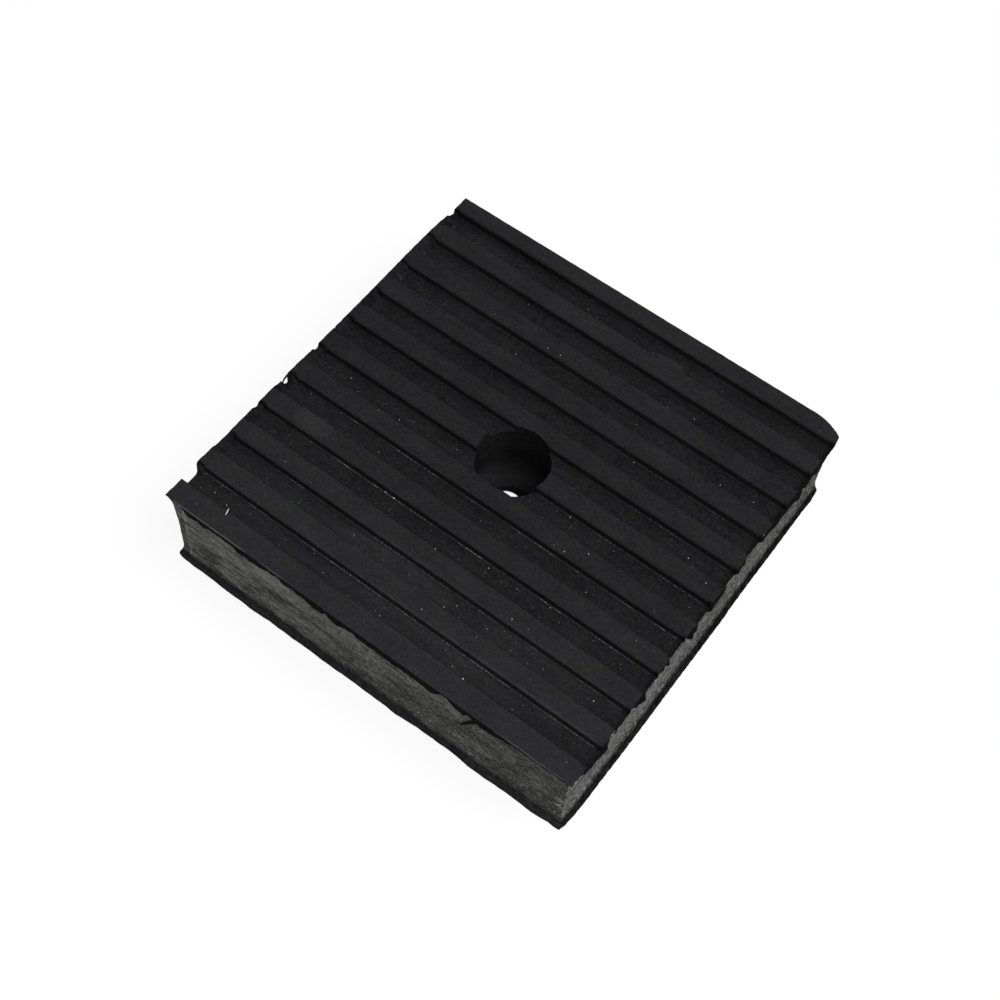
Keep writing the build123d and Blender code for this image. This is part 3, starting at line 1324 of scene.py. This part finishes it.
@dataclass
class FrontFlap:
    """The torn edge of the top skin that hangs down the front side."""

    thickness: float = 0.16
    stand_off: float = 0.03
    top: float = 24.7
    limit: float = 50.48
    step: float = 0.25
    rows: int = 7
    tuck: float = 0.04
    thinning: float = 0.55
    drops: Line = Line((
        (-45.8, 0.3), (-45, 1.7), (-44, 2.1), (-42, 1.6), (-40, 2.2), (-39, 1.3), (-37, 1.1),
        (-36, 1.4), (-32.6, 1.2), (-32, 1.5), (-31.6, 2.4), (-31, 2.45), (-29, 2.1), (-28, 2.4),
        (-27, 1.85), (-26, 2.2), (-24, 1.35), (-22, 1.1), (-21, 0.5), (-20.2, 1.4), (-19, 1.7),
        (-17, 1.35), (-16, 1.95), (-14, 1.9), (-13, 2.6), (-12, 3.05), (-10, 2.9), (-9, 1.7),
        (-8, 2.65), (-6, 3.3), (-5, 2.8), (-4, 1.9), (-3, 2.35), (-2, 1.6), (-1, 2.25), (1, 2.6),
        (5, 2.45), (8, 2.7), (11, 2.25), (14, 2.45), (16, 3.05), (17, 3.1), (18, 2.35), (18.8, 1.3),
        (19.4, 0.4), (20.8, 0.4), (21.5, 1.6), (23, 2.4), (25, 2.75), (25.8, 1.2), (26.4, 1.4),
        (28, 2.7), (30, 2.8), (31, 2.6), (32, 2.0), (34, 1.5), (35.2, 1.3), (36, 0.4), (43, 0.35),
        (49.2, 0.35),
    ))
    strand: tuple[Point, ...] = (
        (28.1, -50.34, 24.0), (27.6, -50.36, 22.9), (26.9, -50.36, 21.7), (26.2, -50.34, 20.6),
        (25.6, -50.3, 19.3), (25.0, -50.26, 18.2), (24.6, -50.24, 17.5),
    )
    strand_across: Point = (0.88, 0.0, -0.47)
    strand_thick: float = 0.2
    strand_widths: tuple[float, ...] = (1.3, 1.25, 1.1, 1.0, 0.85, 0.7, 0.3)

    def build(self, pad: PadBody, material: bpy.types.Material) -> bpy.types.Object:
        """Makes the flap and its hanging strand.

        Args:
            pad: The pad whose front lip carries the flap.
            material: The rubber.

        Returns:
            The finished piece.
        """
        places = np.arange(self.drops.points[0][0], self.drops.points[-1][0], self.step)
        drop = self.drops.at(places)
        drop = np.maximum(0.25, drop + Wander(91, 2.2, 0.16, 5).at(places) * np.minimum(1.0, drop))
        lip = pad.half_top + pad.lip_lines(Edge.FRONT, places)[0]
        curl = Wander(92, 6.0, 0.06).at(places)
        row = np.linspace(0.0, 1.0, self.rows)[:, None]
        out = lip + self.stand_off + curl * row - self.tuck * row**2 * drop
        out = np.minimum(out, self.limit)
        back = out - self.thickness * (1.0 - self.thinning * row)
        z = self.top - drop * row
        y, z = -np.concatenate([out, back[::-1]]), np.concatenate([z, z[::-1]])
        cuts = np.stack([np.broadcast_to(places, y.shape), y, z], -1).transpose(1, 0, 2)
        rope, rope_faces = tube(
            self.strand, self.strand_widths, self.strand_across, self.strand_thick
        )
        points = np.concatenate([cuts.reshape(-1, 3), rope])
        faces = ring_faces(len(places), 2 * self.rows)
        faces += [[cuts.size // 3 + i for i in face] for face in rope_faces]
        flap = mesh_object("torn_skin_front", points, faces)
        mend(flap.data)
        keep_values(flap, {BARE: WHOLE, DUST_AND_HIGHLIGHT: 0.0, PAINTED_SHADE_AND_DARK_WEBS: 0.0})
        dress(flap, material, angle=60.0)
        return flap


@dataclass
class WebStrand:
    """The thread of a torn web that still spans the fourth groove at its left end."""

    path: tuple[Point, ...] = (
        (-49.35, -15.0, 24.2), (-49.6, -14.5, 24.35), (-49.8, -14.0, 24.45), (-49.97, -13.4, 24.5),
        (-50.04, -12.7, 24.55), (-50.0, -11.9, 24.6),
    )
    widths: tuple[float, ...] = (0.6, 0.45, 0.4, 0.42, 0.55, 0.8)
    across: Point = (0.9, 0.35, 0.2)
    thick: float = 0.36

    def build(self, material: bpy.types.Material) -> bpy.types.Object:
        """Makes the thread.

        Args:
            material: The rubber.

        Returns:
            The finished piece.
        """
        strand = tube(self.path, self.widths, self.across, self.thick)
        piece = mesh_object("torn_web_strand", *strand)
        mend(piece.data)
        keep_values(piece, {BARE: WHOLE, DUST_AND_HIGHLIGHT: 0.0, PAINTED_SHADE_AND_DARK_WEBS: 0.7})
        dress(piece, material, angle=60.0)
        return piece


@dataclass(frozen=True)
class Fleck:
    """A crumb or a length of lint: its two ends, its thickness and its tint."""

    start: Point
    stop: Point
    thick: float
    tint: float = 0.0


@dataclass
class Flecks:
    """The few larger bits of lint and dirt that lie on the pad."""

    bits: tuple[Fleck, ...] = (
        Fleck((-37.75, -46.0, 24.93), (-38.1, -44.5, 24.95), 0.2),
        Fleck((20.85, -45.4, 24.93), (21.1, -45.3, 24.93), 0.28),
        Fleck((42.9, -33.05, 23.17), (43.1, -33.0, 23.17), 0.24),
        Fleck((-16.9, -21.35, 23.3), (-16.55, -21.3, 23.5), 0.26, 0.2),
        Fleck((-14.8, -21.35, 23.25), (-14.3, -21.3, 23.3), 0.26),
        Fleck((46.5, 0.85, 24.93), (46.66, 0.9, 24.93), 0.34, 0.6),
        Fleck((-23.4, -50.2, 21.9), (-22.7, -50.22, 22.9), 0.3),
        Fleck((50.36, -27.2, 2.0), (50.44, -26.7, 0.9), 0.2),
        Fleck((13.5, -49.12, 5.4), (13.75, -49.12, 5.45), 0.26),
        Fleck((16.4, -49.12, 5.2), (16.75, -49.12, 5.2), 0.24),
        Fleck((39.3, -49.26, 6.1), (39.38, -49.26, 6.5), 0.28),
        Fleck((47.4, -49.3, 9.3), (48.5, -49.3, 10.6), 0.22),
        Fleck((47.4, -49.3, 5.5), (47.6, -49.3, 5.6), 0.24),
    )
    dots: tuple[tuple[float, float, float, float], ...] = (
        (20.83, -29.4, 24.93, 0.27), (-25.47, -5.7, 23.17, 0.24), (24.33, -8.2, 24.93, 0.25),
        (23.03, 33.4, 23.17, 0.24), (-0.37, -26.2, 24.93, 0.22), (24.83, -21.9, 23.17, 0.22),
        (16.13, -2.7, 23.17, 0.24), (-8.07, 27.8, 24.93, 0.22), (-23.87, -14.6, 23.17, 0.21),
        (8.33, -34.7, 23.17, 0.22), (10.13, -22.3, 23.17, 0.22), (20.23, -10.8, 24.93, 0.21),
        (40.33, 4.4, 23.17, 0.22), (36.13, 23.0, 23.17, 0.21), (43.83, 23.8, 23.17, 0.22),
        (-16.37, 23.2, 23.17, 0.2), (-43.67, -42.7, 23.17, 0.22), (-11.27, 27.7, 24.93, 0.2),
        (19.03, 16.4, 23.17, 0.2), (5.73, -38.5, 24.93, 0.2),
    )
    dot_run: Place = (0.14, 0.04)
    flat: float = 0.3
    around: int = 7
    shares: tuple[float, ...] = (0.0, 0.12, 0.5, 0.88, 1.0)
    swell: tuple[float, ...] = (0.35, 0.8, 1.0, 0.8, 0.35)
    uneven: Place = (0.8, 1.15)
    seed: int = 17

    def all_bits(self) -> list[Fleck]:
        """Gives the drawn bits, and then the dots as very short ones."""
        dx, dy = self.dot_run
        return [*self.bits] + [Fleck((x, y, z), (x + dx, y + dy, z), t) for x, y, z, t in self.dots]

    def build(self, material: bpy.types.Material) -> bpy.types.Object:
        """Makes all the flecks as one piece.

        Args:
            material: The flecks' material.

        Returns:
            The finished piece.
        """
        points: list[np.ndarray] = []
        faces: list[list[int]] = []
        tints: list[float] = []
        rings = ring_faces(len(self.shares), self.around)
        turn = np.linspace(0, 2 * np.pi, self.around, endpoint=False)
        dice = np.random.default_rng(self.seed)
        for bit in self.all_bits():
            a, b = np.array(bit.start), np.array(bit.stop)
            way = (b - a) / np.linalg.norm(b - a)
            side = np.cross(way, (0, 0, 1))
            side = side / np.linalg.norm(side)
            rise = np.cross(side, way) * self.flat
            first = len(tints)
            for share, width in zip(self.shares, self.swell):
                reach = bit.thick / 2 * width * dice.uniform(*self.uneven, self.around)[:, None]
                ring = reach * (np.cos(turn)[:, None] * side + np.sin(turn)[:, None] * rise)
                points.append(a + share * (b - a) + ring)
            faces += [[first + i for i in face] for face in rings]
            tints += [bit.tint] * (self.around * len(self.shares))
        piece = mesh_object("loose_flecks", inside_box(np.concatenate(points)), faces)
        mend(piece.data)
        keep_values(piece, {TINT: tints})
        dress(piece, material, angle=80.0)
        return piece


# Studio


@dataclass
class Studio:
    """A white floor, a pale surround, soft lamps and the camera."""

    floor_half: float = 3.0
    floor_drop: float = 0.05
    horizon: float = 0.16
    zenith: float = 0.50
    eye: Point = (90.674, -159.203, 316.827)
    heading: float = 30.261
    tilt: float = 59.241
    roll: float = 7.030
    focal_pixels: float = 1678.156
    picture: float = 1000.0
    sensor: float = 36.0
    near_clip: float = 0.01
    sky_steps: Place = (0.12, 0.85)
    lamps: tuple[tuple[str, Point, float, float], ...] = (
        ("key_softbox", (0.50, 0.06, 0.90), 0.55, 5.8),
        ("front_fill", (0.30, -0.52, 1.00), 0.35, 2.4),
    )

    def build(self) -> None:
        """Sets up the floor, the light and the camera."""
        self._floor()
        self._surround()
        for name, at, size, power in self.lamps:
            self._lamp(name, at, size, power)
        self._camera()
        bpy.context.scene.view_settings.view_transform = "Standard"

    def _floor(self) -> None:
        """Lays the floor just under the pad."""
        h, z = self.floor_half / MM, -self.floor_drop
        corners = np.array([(-h, -h, z), (h, -h, z), (h, h, z), (-h, h, z)])
        floor = mesh_object("floor", corners, [[0, 1, 2, 3]])
        floor.data.materials.append(FloorFinish().build())

    def _surround(self) -> None:
        """Makes the world, brighter overhead than at the horizon."""
        r = Recipe(bpy.data.worlds.new("pale_surround"))
        place = r.add("ShaderNodeTexCoord", {}, {}, "Generated")
        height = r.add("ShaderNodeSeparateXYZ", {}, {0: place}, 2)
        stops = zip(self.sky_steps, ((self.horizon,) * 3, (self.zenith,) * 3))
        shade = r.add("ShaderNodeValToRGB", {"stops": stops}, {0: height})
        sky = r.add("ShaderNodeBackground", {}, {"Color": shade})
        bpy.context.scene.world = r.finish(sky, "ShaderNodeOutputWorld")

    @staticmethod
    def _lamp(name: str, at: Point, size: float, power: float) -> None:
        """Hangs a square soft lamp that faces the pad.

        Args:
            name: The lamp's name.
            at: Its place, in metres.
            size: Its width, in metres.
            power: Its power, in watts.
        """
        light = bpy.data.lights.new(name, "AREA")
        light.shape, light.size, light.energy = "SQUARE", size, power
        lamp = bpy.data.objects.new(name, light)
        lamp.location = at
        lamp.rotation_euler = (-Vector(at)).to_track_quat("-Z", "Y").to_euler()
        bpy.context.scene.collection.objects.link(lamp)

    def _camera(self) -> None:
        """Stands the camera where the photograph was taken from."""
        a, e, t = (math.radians(v) for v in (self.heading, self.tilt, self.roll))
        back = Vector((math.sin(a) * math.cos(e), -math.cos(a) * math.cos(e), math.sin(e)))
        right = Vector((math.cos(a), math.sin(a), 0.0))
        up = back.cross(right)
        right, up = math.cos(t) * right + math.sin(t) * up, -math.sin(t) * right + math.cos(t) * up
        data = bpy.data.cameras.new("camera")
        data.sensor_fit, data.sensor_width = "HORIZONTAL", self.sensor
        data.lens = self.focal_pixels / self.picture * data.sensor_width
        data.clip_start = self.near_clip
        camera = bpy.data.objects.new("camera", data)
        turn = Matrix((right, up, back)).transposed().to_4x4()
        camera.matrix_world = Matrix.Translation(Vector(self.eye) * MM) @ turn
        bpy.context.scene.collection.objects.link(camera)
        bpy.context.scene.camera = camera


def main() -> None:
    """Builds the pad, its torn skin, the flecks and the studio."""
    logging.basicConfig(level=logging.INFO, format="%(name)s: %(message)s")
    rubber = RubberFinish().build()
    body = PadBody()
    pieces = [
        body.build(rubber),
        FrontFlap().build(body, rubber),
        WebStrand().build(rubber),
        Flecks().build(FleckFinish().build()),
    ]
    for piece in pieces:
        piece.data.calc_loop_triangles()
        log.info("%s: %d triangles", piece.name, len(piece.data.loop_triangles))
    Studio().build()


if __name__ == "__main__":
    main()
